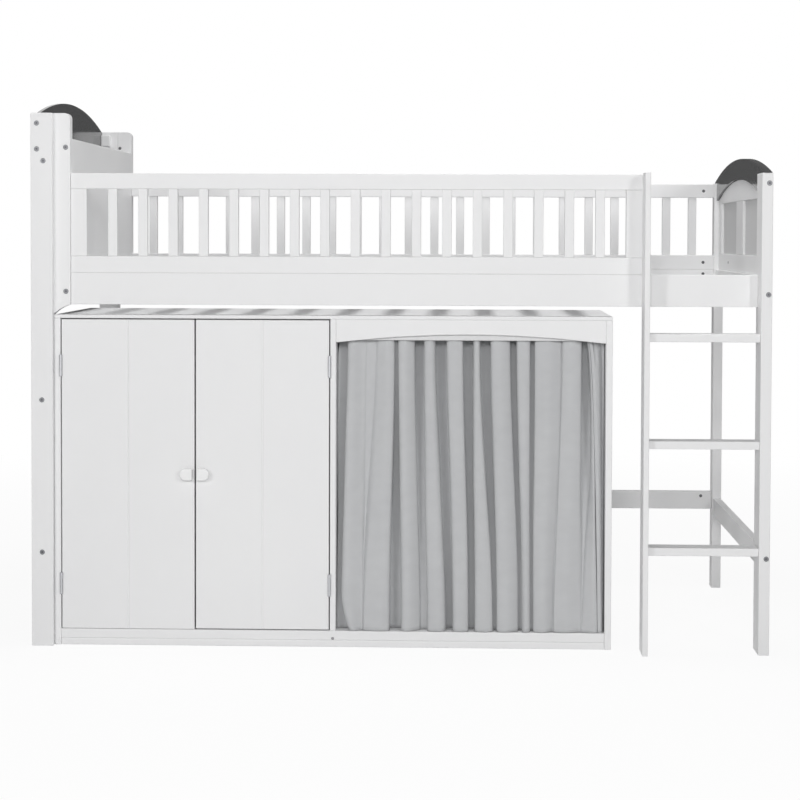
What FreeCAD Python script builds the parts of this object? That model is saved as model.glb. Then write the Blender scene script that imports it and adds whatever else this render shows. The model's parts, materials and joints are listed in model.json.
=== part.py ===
import FreeCAD, Part
import math
import os

os.makedirs("parts", exist_ok=True)
V = FreeCAD.Vector

# Loft bed, millimetres. While it is drawn, X = 0 is the outer face of the head legs,
# Y = 0 the front faces of the head legs and Z = 0 the floor.

# Corner posts
leg_width = 60.0
leg_depth = 50.0
leg_height = 1476.0
head_post_width = 46.0
head_post_setback = 18.0
head_post_corner = 15.0
cove_bow = 3.0
cove_clear = 2.0
foot_post_width = 30.0
foot_post_rise = 3.0
foot_post_forward = 36.0
foot_post_depth = 92.0
inner_length = 1894.0
bed_depth = 1015.0

# Long rails, slats and stretchers
rail_bottom = 948.0
rail_height = 88.0
rail_setback = 24.0
rail_thickness = 25.0
ledge_size = 25.0
slat_width = 50.0
slat_thickness = 15.0
slat_count = 14
slat_pitch = 127.5
slat_shift = 10.0
slat_drop = 36.0
slat_end_gap = 0.5
stretcher_height = 57.0
stretcher_thickness = 24.0
back_stretcher_bottom = 256.0
back_stretcher_inset = 13.0
foot_stretcher_bottom = 236.0

# Slatted guards
guard_low_height = 46.0
guard_opening = 186.0
guard_top_height = 43.0
baluster_width = 26.0
baluster_thickness = 18.0
front_baluster_count = 17
back_baluster_count = 22
guard_stile_width = 45.0
guard_end_show = 44.0

# Ladder
ladder_width = 302.0
ladder_stile_thickness = 15.0
ladder_stile_depth = 86.0
rung_count = 3
rung_pitch = 292.0
rung_thickness = 22.0
rung_depth = 62.0
rung_forward = 31.0

# Head end
head_arch_thickness = 10.0
head_arch_drop = 2.5
head_arch_rise = 56.0
headboard_thickness = 20.0
headboard_drop = 69.0
head_cross_thickness = 24.0
shelf_drop = 141.0
shelf_thickness = 18.0
shelf_rail_inset = 10.0
shelf_rail_thickness = 14.0
shelf_rail_height = 47.0
block_drop = 46.0
block_height = 35.0
block_reach = 20.0
block_width = 28.0
block_bolt_edge = 7.0
end_rail_inset = 17.0
end_rail_thickness = 25.0
end_rail_height = 57.0
end_rail_low_level = 261.0
end_rail_high_level = 684.0

# Foot end
footboard_back = 2.0
footboard_thickness = 14.0
foot_cross_thickness = 23.0
foot_low_height = 52.0
foot_panel_height = 160.0
foot_panel_width = 335.0
foot_mid_width = 140.0
foot_panel_thickness = 6.0
foot_panel_inset = 0.5
foot_top_end = 10.0
foot_top_peak = 64.0
foot_arch_thickness = 20.0
foot_arch_back = 3.0
foot_arch_end = 2.0
foot_arch_peak = 57.5
arch_joint_gap = 0.3

# Bolts and nuts
bolt_head_radius = 7.0
bolt_head_thickness = 4.0
bolt_sink = 0.5
bolt_radius = 3.0
bolt_bite = 40.0
bolt_play = 0.3
head_bolt_edge = 12.5
foot_bolt_back = 10.0
headboard_bolt_drop = 25.0
shelf_bolt_inset = 35.0
leg_bolt_drop = 52.0
leg_nut_inset = 8.0
rail_bolt_rise = 36.0
nut_radius = 5.0
nut_depth = 12.0
nut_inset = 35.0
cap_radius = 4.0
cap_thickness = 1.5
cap_edge = 1.0
side_cap_level = 11.0

# Cabinet
cabinet_gap = 0.5
cabinet_setback = 16.0
cabinet_ladder_gap = 79.0
cabinet_depth = 498.0
cabinet_head_gap = 28.0
top_thickness = 10.0
side_thickness = 18.0
divider_thickness = 16.0
wardrobe_width = 748.5
plinth_height = 20.0
plinth_setback = 4.0
plinth_thickness = 16.0
base_height = 26.0
base_thickness = 16.0
bottom_thickness = 16.0
back_thickness = 5.0
valance_thickness = 16.0
valance_end = 64.0
valance_rise = 23.0
batten_thickness = 12.0
batten_height = 58.0

# Doors, knobs and hinges
door_thickness = 16.0
hinge_gap = 3.0
left_door_foot_gap = 1.0
meeting_gap = 4.0
groove_half_width = 2.5
groove_depth = 2.5
knob_width = 35.0
knob_height = 33.0
knob_level = 480.0
knob_edge = 3.75
knob_neck_inset = 9.0
knob_neck = 6.0
knob_body = 19.0
knob_round = 5.0
knuckle_radius = 4.0
knuckle_height = 60.0
knuckle_gap = 0.3
hinge_low_inset = 124.0
hinge_high_inset = 128.0
hinge_proud = 4.0
leaf_thickness = 1.2
leaf_depth = 14.0
leaf_clear = 0.3
pin_radius = 1.5
pin_play = 0.05

# Curtain and its rod
rod_radius = 6.0
rod_back = 50.0
rod_drop = 39.0
rod_play = 0.3
socket_radius = 10.0
socket_length = 6.0
socket_floor = 2.0
curtain_side_gap = 1.0
lead_width = 9.0
lead_gap = 0.5
pocket_wall = 2.2
cloth_thickness = 3.0
curtain_floor_gap = 5.0
curtain_forward = 25.0
curtain_top_short = 30.0
fold_top_depth = 17.0
fold_hem_depth = 26.0
fold_top_round = 3.0
fold_hem_round = 7.0
fold_half_turn = 12.0

# Spacing of the folds across the curtain, from one side to the other, at the rod and at the hem
fold_steps_top = [47, 81, 60, 62, 69, 63, 61, 69, 69, 59, 50, 30]
fold_steps_hem = [39, 67, 90, 74, 61, 70, 67, 57, 49, 62, 56, 28]

# Places that follow from the sizes
post_x1 = leg_width + head_post_width
foot_x0 = post_x1 + inner_length
foot_x1 = foot_x0 + foot_post_width
back_y0 = bed_depth - leg_depth
foot_y0 = -foot_post_forward
foot_y1 = foot_y0 + foot_post_depth
rail_top = rail_bottom + rail_height
guard_low_top = rail_top + guard_low_height
guard_top_bottom = guard_low_top + guard_opening
guard_top = guard_top_bottom + guard_top_height
foot_post_height = guard_top + foot_post_rise
front_rail_y0 = rail_setback
front_rail_y1 = rail_setback + rail_thickness
back_rail_y1 = bed_depth - rail_setback
back_rail_y0 = back_rail_y1 - rail_thickness
stile_x1 = foot_x0 - ladder_width
stile_x0 = stile_x1 - ladder_stile_thickness
stile_y0 = rail_setback - ladder_stile_depth
cab_x0 = leg_width + cabinet_gap
cab_x1 = stile_x0 - cabinet_ladder_gap
cab_y0 = cabinet_setback
cab_y1 = cab_y0 + cabinet_depth
cabinet_height = rail_bottom - cabinet_head_gap
cab_top_z = cabinet_height - top_thickness
inside_x0 = cab_x0 + side_thickness
inside_x1 = cab_x1 - side_thickness
divider_x0 = inside_x0 + wardrobe_width
divider_x1 = divider_x0 + divider_thickness
base_top = plinth_height + base_height
mid_y = bed_depth / 2.0
foot_mid_y = (foot_y0 + bed_depth) / 2.0

# The model's origin is the middle of the footprint, on the floor.
origin_x = foot_x1 / 2.0
origin_y = (bed_depth + stile_y0) / 2.0


def box(x0, x1, y0, y1, z0, z1):
    return Part.makeBox(x1 - x0, y1 - y0, z1 - z0, V(x0, y0, z0))


def rod(start, end, radius):
    along = end - start
    return Part.makeCylinder(radius, along.Length, start, along)


def arc(a, b, c):
    return Part.Arc(a, b, c).toShape()


def line(a, b):
    return Part.makeLine(a, b)


def prism(edges, depth):
    return Part.Face(Part.Wire(edges)).extrude(depth)


def both_ends(shape):
    return [shape, shape.mirror(V(0, mid_y, 0), V(0, 1, 0))]


def drill(shape, holes):
    for hole in holes:
        if shape.BoundBox.intersect(hole.BoundBox):
            shape = shape.cut(hole)
    return shape


def save(name, shapes):
    moved = []
    for shape in shapes:
        copy = shape.copy()
        copy.translate(V(-origin_x, -origin_y, 0))
        moved.append(copy)
    whole = moved[0] if len(moved) == 1 else Part.makeCompound(moved)
    whole.exportStep("parts/" + name + ".step")


# Bolts: each has a sunk head, a shank through the post and a bite into the rail behind it.
bolts = []
bolt_holes = []


def add_bolt(place, inward, grip):
    head = place + inward * bolt_sink
    seat = head + inward * bolt_head_thickness
    tip = place + inward * (grip + bolt_bite)
    end = tip + inward * bolt_play
    bolts.append(rod(head, seat, bolt_head_radius).fuse(rod(seat, tip, bolt_radius)))
    bore = rod(place, seat, bolt_head_radius + bolt_play)
    bolt_holes.append(bore.fuse(rod(seat, end, bolt_radius + bolt_play)))


end_rail_x = end_rail_inset + end_rail_thickness / 2.0
shelf_rail_x = shelf_rail_inset + shelf_rail_thickness / 2.0
head_bolt_x = post_x1 - head_bolt_edge
foot_bolt_x = foot_x1 - foot_bolt_back
block_x1 = head_arch_thickness + block_width
block_x = head_arch_thickness + block_bolt_edge
shelf_bottom = leg_height - shelf_drop
shelf_level = shelf_bottom + shelf_thickness / 2.0
shelf_top = shelf_bottom + shelf_thickness
shelf_x1 = post_x1 - headboard_thickness
block_bottom = leg_height - block_drop
block_level = block_bottom + block_height / 2.0
headboard_top = leg_height - headboard_drop
end_rail_levels = [end_rail_low_level, end_rail_high_level]
rail_level = rail_bottom + rail_bolt_rise
foot_low_top = rail_top + foot_low_height
foot_panel_top = foot_low_top + foot_panel_height
foot_arch_low = foot_panel_top + foot_top_end + arch_joint_gap
foot_arch_level = (foot_arch_low + foot_post_height) / 2.0

leg_spots = [(end_rail_x, level) for level in end_rail_levels]
leg_spots.append((shelf_bolt_inset, shelf_level))
leg_spots.append((shelf_rail_x, shelf_top + shelf_rail_height / 2.0))
for x, z in leg_spots:
    add_bolt(V(x, 0, z), V(0, 1, 0), leg_depth)
    add_bolt(V(x, bed_depth, z), V(0, -1, 0), leg_depth)
block_grip = leg_depth + block_reach / 2.0 - bolt_bite
add_bolt(V(block_x, 0, block_level), V(0, 1, 0), block_grip)
add_bolt(V(block_x, bed_depth, block_level), V(0, -1, 0), block_grip)
head_post_depth = leg_depth - head_post_setback
for z in (headboard_top - headboard_bolt_drop, rail_level):
    add_bolt(V(head_bolt_x, head_post_setback, z), V(0, 1, 0), head_post_depth)
    add_bolt(V(head_bolt_x, bed_depth - head_post_setback, z), V(0, -1, 0), head_post_depth)
for z in (foot_arch_level, rail_level, foot_stretcher_bottom + stretcher_height / 2.0):
    add_bolt(V(foot_bolt_x, foot_y0, z), V(0, 1, 0), foot_post_depth)
    add_bolt(V(foot_bolt_x, bed_depth, z), V(0, -1, 0), leg_depth)

# Bolts through the foot posts into the ends of the long rails, met by barrel nuts.
front_rail_y = (front_rail_y0 + front_rail_y1) / 2.0
back_rail_y = (back_rail_y0 + back_rail_y1) / 2.0
back_stretcher_y0 = bed_depth - back_stretcher_inset - stretcher_thickness
back_stretcher_y1 = bed_depth - back_stretcher_inset
back_stretcher_level = back_stretcher_bottom + 0.75 * stretcher_height
rail_bolt_level = rail_top - 2.0 * bolt_head_radius
end_spots = [(front_rail_y, rail_bolt_level, front_rail_y1, -1)]
end_spots.append((back_rail_y, rail_bolt_level, back_rail_y0, 1))
end_spots.append((back_rail_y, rail_top + guard_low_height / 2.0, back_rail_y0, 1))
end_spots.append((back_rail_y, guard_top_bottom + guard_top_height / 2.0, back_rail_y0, 1))
back_stretcher_y = (back_stretcher_y0 + back_stretcher_y1) / 2.0
end_spots.append((back_stretcher_y, back_stretcher_level, back_stretcher_y0, 1))
nuts = []
for y, z, face_y, inward in end_spots:
    nut_x = foot_x0 - nut_inset
    reach = nut_inset - nut_radius - bolt_play - bolt_bite
    add_bolt(V(foot_x1, y, z), V(-1, 0, 0), foot_post_width + reach)
    mouth = V(nut_x, face_y, z)
    floor = V(nut_x, face_y + inward * nut_depth, z)
    nuts.append(rod(mouth, floor, nut_radius))

# Bolts through the head legs into the short posts, met by barrel nuts in the posts' inner faces
leg_bolt_level = leg_height - leg_bolt_drop
leg_nut_x = leg_width + leg_nut_inset
leg_grip = leg_nut_x - nut_radius - bolt_play - bolt_bite
for face_y, inward in ((leg_depth, -1), (back_y0, 1)):
    add_bolt(V(0, face_y + inward * nut_depth, leg_bolt_level), V(1, 0, 0), leg_grip)
    mouth = V(leg_nut_x, face_y, leg_bolt_level)
    floor = V(leg_nut_x, face_y + inward * nut_depth, leg_bolt_level)
    nuts.append(rod(mouth, floor, nut_radius))
bolt_holes += nuts
save("frame_bolts", bolts)
save("barrel_nuts", nuts)


def wood(name, shapes):
    save(name, [drill(shape, bolt_holes) for shape in shapes])


# Head posts: tall legs, with short posts beside them that carry the rails.
leg_front = box(0, leg_width, 0, leg_depth, 0, leg_height)
cove_bottom = cabinet_height + cove_clear
post_y0 = head_post_setback
cove_a = V(post_x1, post_y0, rail_bottom)
cove_b = V(leg_width, post_y0, cove_bottom)
cove_mid = (cove_a + cove_b) * 0.5 + V(-cove_bow / 2.0, 0, cove_bow)
corner_a = V(post_x1 - head_post_corner, post_y0, leg_height)
corner_c = V(post_x1, post_y0, leg_height - head_post_corner)
corner_in = head_post_corner * (1.0 - math.sqrt(0.5))
corner_b = V(post_x1 - corner_in, post_y0, leg_height - corner_in)
post_edges = [line(V(leg_width, post_y0, leg_height), corner_a), arc(corner_a, corner_b, corner_c)]
post_edges += [line(corner_c, cove_a), arc(cove_a, cove_mid, cove_b)]
post_edges.append(line(cove_b, V(leg_width, post_y0, leg_height)))
post_front = prism(post_edges, V(0, head_post_depth, 0))
for name, shape in (("head_leg", leg_front), ("head_post", post_front)):
    front, back = both_ends(shape)
    wood(name + "_front", [front])
    wood(name + "_back", [back])

# Arched panel between the head legs, flush with their outer faces
head_arch_end = leg_height - head_arch_drop
arch_a = V(0, leg_depth, head_arch_end)
arch_b = V(0, mid_y, leg_height + head_arch_rise)
arch_c = V(0, back_y0, head_arch_end)
arch_d = V(0, back_y0, rail_bottom)
arch_e = V(0, leg_depth, rail_bottom)
head_edges = [arc(arch_a, arch_b, arch_c), line(arch_c, arch_d), line(arch_d, arch_e), line(arch_e, arch_a)]
save("head_arch_panel", [prism(head_edges, V(head_arch_thickness, 0, 0))])

# Headboard, its trough and the rails between the head legs
wood("headboard_panel", [box(shelf_x1, post_x1, leg_depth, back_y0, rail_top, headboard_top)])
wood("head_cross_rail", [box(post_x1 - head_cross_thickness, post_x1, leg_depth, back_y0, rail_bottom, rail_top)])
wood("head_shelf", [box(head_arch_thickness, shelf_x1, leg_depth, back_y0, shelf_bottom, shelf_top)])
shelf_rail_x1 = shelf_rail_inset + shelf_rail_thickness
shelf_rail_top = shelf_top + shelf_rail_height
wood("head_shelf_back_rail", [box(shelf_rail_inset, shelf_rail_x1, leg_depth, back_y0, shelf_top, shelf_rail_top)])
block_y1 = leg_depth + block_reach
block = box(head_arch_thickness, block_x1, leg_depth, block_y1, block_bottom, block_bottom + block_height)
wood("head_corner_blocks", both_ends(block))
end_rails = []
for level in end_rail_levels:
    low = level - end_rail_height / 2.0
    end_rail_x1 = end_rail_inset + end_rail_thickness
    end_rails.append(box(end_rail_inset, end_rail_x1, leg_depth, back_y0, low, low + end_rail_height))
wood("head_end_rails", end_rails)

# Foot posts and the framed footboard between them
wood("foot_post_front", [box(foot_x0, foot_x1, foot_y0, foot_y1, 0, foot_post_height)])
wood("foot_post_back", [box(foot_x0, foot_x1, back_y0, bed_depth, 0, foot_post_height)])
fb_x1 = foot_x1 - footboard_back
fb_x0 = fb_x1 - footboard_thickness
fc_x0 = fb_x1 - foot_cross_thickness
wood("foot_cross_rail", [box(fc_x0, fb_x1, foot_y1, back_y0, rail_bottom, rail_top)])
foot_stretcher_top = foot_stretcher_bottom + stretcher_height
wood("foot_stretcher", [box(fc_x0, fb_x1, foot_y1, back_y0, foot_stretcher_bottom, foot_stretcher_top)])
wood("footboard_lower_rail", [box(fb_x0, fb_x1, foot_y1, back_y0, rail_top, foot_low_top)])
mid_y0 = foot_mid_y - foot_mid_width / 2.0
mid_y1 = foot_mid_y + foot_mid_width / 2.0
panel_y0 = mid_y0 - foot_panel_width
panel_y1 = mid_y1 + foot_panel_width
save("footboard_stiles", [
    box(fb_x0, fb_x1, foot_y1, panel_y0, foot_low_top, foot_panel_top),
    box(fb_x0, fb_x1, panel_y1, back_y0, foot_low_top, foot_panel_top)])
save("footboard_mid_stile", [box(fb_x0, fb_x1, mid_y0, mid_y1, foot_low_top, foot_panel_top)])
fp_x1 = fb_x1 - foot_panel_inset
fp_x0 = fp_x1 - foot_panel_thickness
save("footboard_panels", [
    box(fp_x0, fp_x1, panel_y0, mid_y0, foot_low_top, foot_panel_top),
    box(fp_x0, fp_x1, mid_y1, panel_y1, foot_low_top, foot_panel_top)])

top_end_z = foot_panel_top + foot_top_end
top_peak_z = foot_panel_top + foot_top_peak
foot_span_y = (foot_y1 + back_y0) / 2.0
ta = V(fb_x0, foot_y1, top_end_z)
tb = V(fb_x0, foot_span_y, top_peak_z)
tc = V(fb_x0, back_y0, top_end_z)
td = V(fb_x0, back_y0, foot_panel_top)
te = V(fb_x0, foot_y1, foot_panel_top)
save("footboard_top_rail", [prism([arc(ta, tb, tc), line(tc, td), line(td, te), line(te, ta)],
                                  V(footboard_thickness, 0, 0))])

# Dark arch over the foot end: it stands on the top rail's curve and laps the post tops.
fa_x0 = foot_x1 - foot_arch_back - foot_arch_thickness
lift = V(0, 0, arch_joint_gap)
low_a = V(fa_x0, foot_y1, top_end_z) + lift
low_b = V(fa_x0, foot_span_y, top_peak_z) + lift
low_c = V(fa_x0, back_y0, top_end_z) + lift
lap_a = V(fa_x0, foot_y1, foot_post_height)
lap_c = V(fa_x0, back_y0, foot_post_height)
ear_a = V(fa_x0, foot_y0, foot_post_height)
ear_c = V(fa_x0, bed_depth, foot_post_height)
tip_a = V(fa_x0, foot_y0, foot_post_height + foot_arch_end)
tip_b = V(fa_x0, foot_mid_y, foot_post_height + foot_arch_peak)
tip_c = V(fa_x0, bed_depth, foot_post_height + foot_arch_end)
foot_edges = [arc(low_a, low_b, low_c), line(low_c, lap_c), line(lap_c, ear_c), line(ear_c, tip_c)]
foot_edges += [arc(tip_c, tip_b, tip_a), line(tip_a, ear_a), line(ear_a, lap_a), line(lap_a, low_a)]
wood("foot_arch_panel", [prism(foot_edges, V(foot_arch_thickness, 0, 0))])

# Side rails, ledges and slats
wood("front_side_rail", [box(post_x1, foot_x0, front_rail_y0, front_rail_y1, rail_bottom, rail_top)])
wood("back_side_rail", [box(post_x1, foot_x0, back_rail_y0, back_rail_y1, rail_bottom, rail_top)])
slat_top = rail_top - slat_drop
ledge_top = slat_top - slat_thickness
ledge = box(post_x1, foot_x0, front_rail_y1, front_rail_y1 + ledge_size, ledge_top - ledge_size, ledge_top)
save("slat_ledges", both_ends(ledge))
slat_x = post_x1 + (inner_length - slat_width - slat_pitch * (slat_count - 1)) / 2.0 + slat_shift
slats = []
for i in range(slat_count):
    x = slat_x + i * slat_pitch
    slats.append(box(x, x + slat_width, front_rail_y1 + slat_end_gap, back_rail_y0 - slat_end_gap,
                     ledge_top, slat_top))
save("bed_slats", slats)
wood("back_stretcher", [box(leg_width, foot_x0, back_stretcher_y0, back_stretcher_y1,
                            back_stretcher_bottom, back_stretcher_bottom + stretcher_height)])


# Guards: a low and a top rail with evenly spaced balusters between them
def balusters(x0, x1, count, rail_y):
    gap = (x1 - x0 - count * baluster_width) / (count + 1)
    y0 = rail_y - baluster_thickness / 2.0
    bars = []
    for i in range(count):
        x = x0 + gap + i * (gap + baluster_width)
        bars.append(box(x, x + baluster_width, y0, y0 + baluster_thickness, guard_low_top, guard_top_bottom))
    return bars


guard_left = post_x1 + guard_stile_width
guard_right = stile_x0 - guard_end_show
wood("front_guard_bottom_rail", [box(post_x1, stile_x1, front_rail_y0, front_rail_y1, rail_top, guard_low_top)])
wood("front_guard_top_rail", [box(post_x1, stile_x1, front_rail_y0, front_rail_y1, guard_top_bottom, guard_top)])
save("front_guard_stiles", [
    box(post_x1, guard_left, front_rail_y0, front_rail_y1, guard_low_top, guard_top_bottom),
    box(guard_right, stile_x1, front_rail_y0, front_rail_y1, guard_low_top, guard_top_bottom)])
save("front_guard_balusters", balusters(guard_left, guard_right, front_baluster_count, front_rail_y))
wood("back_guard_bottom_rail", [box(post_x1, foot_x0, back_rail_y0, back_rail_y1, rail_top, guard_low_top)])
wood("back_guard_top_rail", [box(post_x1, foot_x0, back_rail_y0, back_rail_y1, guard_top_bottom, guard_top)])
save("back_guard_balusters", balusters(post_x1, foot_x0, back_baluster_count, back_rail_y))

# Ladder: one stile stands against the front rail, the front foot post is the other.
save("ladder_stile", [box(stile_x0, stile_x1, stile_y0, rail_setback, 0, foot_post_height)])
rungs = []
for i in range(rung_count):
    top = rung_pitch * (i + 1)
    rungs.append(box(stile_x1, foot_x0, -rung_forward, rung_depth - rung_forward, top - rung_thickness, top))
save("ladder_rungs", rungs)

# Cabinet carcass
save("cabinet_left_side", [box(cab_x0, inside_x0, cab_y0, cab_y1, 0, cab_top_z)])
save("cabinet_right_side", [box(inside_x1, cab_x1, cab_y0, cab_y1, 0, cab_top_z)])
save("cabinet_top", [box(cab_x0, cab_x1, cab_y0, cab_y1, cab_top_z, cabinet_height)])
back_panel_y = cab_y1 - back_thickness
save("cabinet_divider", [box(divider_x0, divider_x1, cab_y0, back_panel_y, base_top, cab_top_z)])
base_y1 = cab_y0 + base_thickness
save("cabinet_base_rail", [box(inside_x0, inside_x1, cab_y0, base_y1, plinth_height, base_top)])
plinth_y0 = cab_y0 + plinth_setback
save("cabinet_plinth", [box(inside_x0, inside_x1, plinth_y0, plinth_y0 + plinth_thickness, 0, plinth_height)])
bottom_z0 = base_top - bottom_thickness
save("cabinet_bottom", [box(inside_x0, inside_x1, base_y1, back_panel_y, bottom_z0, base_top)])
save("cabinet_back", [box(inside_x0, inside_x1, back_panel_y, cab_y1, bottom_z0, cab_top_z)])
caps = []
cap_level = plinth_height + cap_radius + cap_edge
for x, z in (((divider_x0 + divider_x1) / 2.0, cap_level), ((cab_x0 + inside_x0) / 2.0, side_cap_level)):
    caps.append(rod(V(x, cab_y0, z), V(x, cab_y0 - cap_thickness, z), cap_radius))
foot_cap_y = (mid_y1 + panel_y1) / 2.0
foot_cap_z = (rail_top + foot_low_top) / 2.0
caps.append(rod(V(fb_x0, foot_cap_y, foot_cap_z), V(fb_x0 - cap_thickness, foot_cap_y, foot_cap_z), cap_radius))
save("screw_caps", caps)

# Arched valance with a straight batten behind it
valance_y1 = cab_y0 + valance_thickness
valance_low = cab_top_z - valance_end
valance_mid = (divider_x1 + inside_x1) / 2.0
va = V(divider_x1, cab_y0, valance_low)
vb = V(valance_mid, cab_y0, valance_low + valance_rise)
vc = V(inside_x1, cab_y0, valance_low)
vd = V(inside_x1, cab_y0, cab_top_z)
ve = V(divider_x1, cab_y0, cab_top_z)
save("valance", [prism([arc(va, vb, vc), line(vc, vd), line(vd, ve), line(ve, va)], V(0, valance_thickness, 0))])
batten_y1 = valance_y1 + batten_thickness
save("curtain_batten", [box(divider_x1, inside_x1, valance_y1, batten_y1, cab_top_z - batten_height, cab_top_z)])

# Doors: each has a grooved face; the pair hinge on the left side and on the divider.
door_y0 = cab_y0
door_y1 = cab_y0 + door_thickness
door_z0 = base_top + hinge_gap
door_z1 = cab_top_z - hinge_gap
door_width = (wardrobe_width - 2.0 * hinge_gap - meeting_gap) / 2.0


def door_at(x0, z0):
    panel = box(x0, x0 + door_width, door_y0, door_y1, z0, door_z1)
    mid = x0 + door_width / 2.0
    left = V(mid - groove_half_width, door_y0, z0)
    tip = V(mid, door_y0 + groove_depth, z0)
    right = V(mid + groove_half_width, door_y0, z0)
    groove = prism([line(left, tip), line(tip, right), line(right, left)], V(0, 0, door_z1 - z0))
    return panel.cut(groove)


def pull(edge_x, way, inset, y0, y1):
    half = knob_height / 2.0 - inset
    flat_x = edge_x + way * inset
    turn_x = edge_x + way * (knob_width - knob_height / 2.0)
    a = V(flat_x, y0, knob_level - half)
    b = V(turn_x, y0, knob_level - half)
    c = V(turn_x + way * half, y0, knob_level)
    d = V(turn_x, y0, knob_level + half)
    e = V(flat_x, y0, knob_level + half)
    return prism([line(a, b), arc(b, c, d), line(d, e), line(e, a)], V(0, y1 - y0, 0))


def knob_at(edge_x, way):
    neck = pull(edge_x, way, knob_neck_inset, door_y0 - knob_neck, door_y0)
    body = pull(edge_x, way, 0, door_y0 - knob_neck - knob_body, door_y0 - knob_neck)
    body = body.makeFillet(knob_round, body.Edges)
    return body.fuse(neck).removeSplitter()


left_door_x0 = inside_x0 + hinge_gap
right_door_x0 = divider_x0 - hinge_gap - door_width
save("left_door", [door_at(left_door_x0, base_top + left_door_foot_gap)])
save("right_door", [door_at(right_door_x0, door_z0)])
save("left_knob", [knob_at(left_door_x0 + door_width - knob_edge, -1)])
save("right_knob", [knob_at(right_door_x0 + knob_edge, 1)])

# Butt hinges: three knuckles on a pin; the outer two belong to the cabinet.
axis_y = cab_y0 - hinge_proud
knuckle_run = (knuckle_height - 2.0 * knuckle_gap) / 3.0


def knuckle(axis_x, way, z0):
    top = z0 + knuckle_run
    barrel = rod(V(axis_x, axis_y, z0), V(axis_x, axis_y, top), knuckle_radius)
    near = axis_x + way * (hinge_gap / 2.0 - leaf_thickness)
    far = axis_x + way * hinge_gap / 2.0
    strip = box(min(near, far), max(near, far), axis_y, cab_y0 + leaf_depth, z0, top)
    bore = rod(V(axis_x, axis_y, z0), V(axis_x, axis_y, top), pin_radius + pin_play)
    return barrel.fuse(strip).cut(bore)


def leaf(axis_x, way, z0, starts):
    near = axis_x + way * (hinge_gap / 2.0 - leaf_thickness)
    far = axis_x + way * hinge_gap / 2.0
    plate = box(min(near, far), max(near, far), cab_y0 + leaf_clear, cab_y0 + leaf_depth, z0, z0 + knuckle_height)
    for start in starts:
        plate = plate.fuse(knuckle(axis_x, way, z0 + start * (knuckle_run + knuckle_gap)))
    return plate.removeSplitter()


frame_leaves = []
pins = []
left_axis = inside_x0 + hinge_gap / 2.0
right_axis = divider_x0 - hinge_gap / 2.0
hinge_levels = [door_z0 + hinge_low_inset, door_z1 - hinge_high_inset]
for name, axis_x, way in (("left_hinge_leaves", left_axis, 1), ("right_hinge_leaves", right_axis, -1)):
    door_leaves = []
    for level in hinge_levels:
        z0 = level - knuckle_height / 2.0
        frame_leaves.append(leaf(axis_x, -way, z0, (0, 2)))
        door_leaves.append(leaf(axis_x, way, z0, (1,)))
        pins.append(rod(V(axis_x, axis_y, z0), V(axis_x, axis_y, z0 + knuckle_height), pin_radius))
    save(name, door_leaves)
save("hinge_frame_leaves", frame_leaves)
save("hinge_pins", pins)

# Curtain rod in two end sockets
rod_y = cab_y0 + rod_back
rod_z = cab_top_z - rod_drop
socket_in_x0 = divider_x1 + socket_length
socket_in_x1 = inside_x1 - socket_length
rod_x0 = divider_x1 + socket_floor
rod_x1 = inside_x1 - socket_floor
save("curtain_rod", [rod(V(rod_x0, rod_y, rod_z), V(rod_x1, rod_y, rod_z), rod_radius)])
rod_room = rod(V(rod_x0, rod_y, rod_z), V(rod_x1, rod_y, rod_z), rod_radius + rod_play)
save("rod_sockets", [
    rod(V(divider_x1, rod_y, rod_z), V(socket_in_x0, rod_y, rod_z), socket_radius).cut(rod_room),
    rod(V(socket_in_x1, rod_y, rod_z), V(inside_x1, rod_y, rod_z), socket_radius).cut(rod_room)])

# Curtain: a pocket round the rod and a sheet that falls from it in eleven folds; its free edge
# slants out from the rod to the hem.
curtain_x0 = socket_in_x0 + curtain_side_gap
lead_x1 = socket_in_x1 - curtain_side_gap
lead_x0 = lead_x1 - lead_width
curtain_x1 = lead_x0 - lead_gap
pocket_radius = rod_radius + rod_play + pocket_wall
sheet_top = rod_z - rod_radius - rod_play - 0.5 * pocket_wall
sheet_bottom = base_top + curtain_floor_gap
hem_y = rod_y - curtain_forward
lead_top_x0 = lead_x0 - curtain_top_short
lead_top_x1 = lead_x1 - curtain_top_short
curtain_top_x1 = curtain_x1 - curtain_top_short


def fold_crests(steps, width):
    share = width / sum(steps)
    return [sum(steps[:i]) * share for i in range(1, len(steps))]


def fold_points(crests, y_mid, depth, turn):
    peaks = []
    for i, crest in enumerate(crests):
        peaks.append((crest, -1))
        if i + 1 < len(crests):
            peaks.append(((crest + crests[i + 1]) / 2.0, 1))
    spans = []
    for at, way in peaks:
        side = y_mid + way * (depth - turn)
        spans.append(((at - fold_half_turn, side), (at, y_mid + way * depth), (at + fold_half_turn, side)))
    return spans


def shifted(spans, y_mid, end_x):
    ends = [((0.0, y_mid),) * 2] + [(s[0], s[2]) for s in spans] + [((end_x, y_mid),) * 2]
    moved = []
    for i, span in enumerate(spans):
        before = flank_normal(ends[i][1], span[0])
        after = flank_normal(span[2], ends[i + 2][0])
        new = [moved_by(span[0], before), (span[1][0], span[1][1] + cloth_thickness), moved_by(span[2], after)]
        moved.append(new)
    return moved


def flank_normal(a, b):
    length = math.hypot(b[0] - a[0], b[1] - a[1])
    return (-(b[1] - a[1]) / length * cloth_thickness, (b[0] - a[0]) / length * cloth_thickness)


def moved_by(point, step):
    return (point[0] + step[0], point[1] + step[1])


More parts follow.
